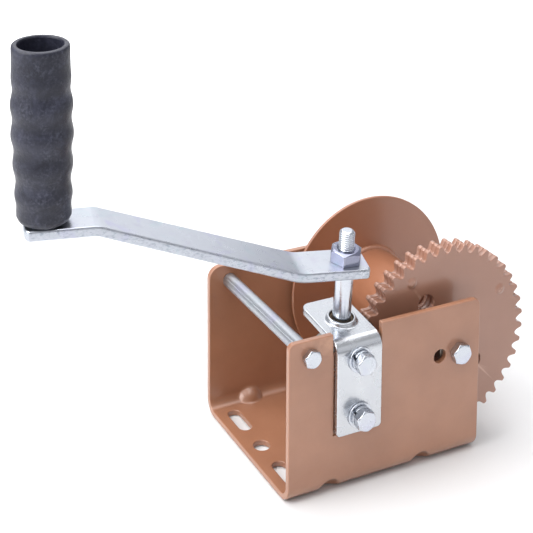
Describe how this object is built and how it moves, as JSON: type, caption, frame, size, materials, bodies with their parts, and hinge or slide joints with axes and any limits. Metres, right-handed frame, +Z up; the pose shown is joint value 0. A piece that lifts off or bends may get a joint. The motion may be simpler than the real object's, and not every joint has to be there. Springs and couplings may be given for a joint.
{
  "type": "hand-cranked worm-gear winch",
  "caption": "Hand winch with a channel frame, a rope drum on a cross axle, a toothed gear turned by an upright worm shaft, and an offset crank with a spinning grip.",
  "frame": {"origin": "centre of the underside of the channel frame's base", "axes": "+X along the frame towards the drum end, +Y across the frame along the drum axle away from the gear side, +Z up"},
  "size_m": [0.3593, 0.145, 0.311],
  "materials": {
    "copper_paint": "satin metallic copper-brown paint",
    "zinc_plate": "bright blue-white zinc plating",
    "bare_steel": "machined steel, lightly oiled",
    "bearing_bronze": "sintered bronze",
    "grip_plastic": "moulded black plastic, satin"
  },
  "bodies": {
    "frame": {"frame_channel": "copper_paint", "worm_bracket": "zinc_plate", "bracket_bolt_upper": "zinc_plate", "bracket_bolt_lower": "zinc_plate", "bracket_lock_washer_upper": "zinc_plate", "bracket_lock_washer_lower": "zinc_plate", "bracket_flat_washer_upper": "zinc_plate", "bracket_flat_washer_lower": "zinc_plate", "upper_worm_bush": "bearing_bronze", "worm_thrust_washer": "bare_steel", "lower_worm_bearing": "bearing_bronze", "tie_spacer_tube": "zinc_plate", "tie_bolt": "zinc_plate", "tie_washer": "zinc_plate", "tie_nut": "zinc_plate", "axle_bolt": "zinc_plate", "axle_sleeve": "bare_steel", "axle_washer": "zinc_plate", "axle_nut": "zinc_plate", "axle_spacer_near": "bare_steel", "axle_spacer_far": "bare_steel"},
    "drum": {"gear_plate_outer": "copper_paint", "gear_plate_middle": "copper_paint", "gear_plate_inner": "copper_paint", "drum_core": "copper_paint", "drum_flange_far": "copper_paint", "drum_bush_near": "bearing_bronze", "drum_bush_far": "bearing_bronze"},
    "crank": {"worm": "bare_steel", "worm_shaft": "zinc_plate", "worm_pin": "bare_steel", "crank_arm": "zinc_plate", "crank_nut": "zinc_plate", "grip_spindle": "zinc_plate", "grip_washer": "zinc_plate"},
    "handle_grip": {"grip": "grip_plastic"}
  },
  "joints": [
    {"name": "drum_spin", "type": "hinge", "parent": "frame", "child": "drum", "pos_m": [0.057, 0, 0.0754], "axis": [0, 1, 0], "continuous": true},
    {"name": "crank_turn", "type": "hinge", "parent": "frame", "child": "crank", "pos_m": [-0.0233, -0.0364, 0.0754], "axis": [0, -0.0985, 0.9951], "continuous": true},
    {"name": "grip_spin", "type": "hinge", "parent": "crank", "child": "handle_grip", "pos_m": [-0.21439, -0.00069, 0.19597], "axis": [-0.0174, -0.0493, 0.9986], "continuous": true}
  ],
  "couplings": [
    {"joint": "crank_turn", "follows": "drum_spin", "ratio": 41}
  ]
}
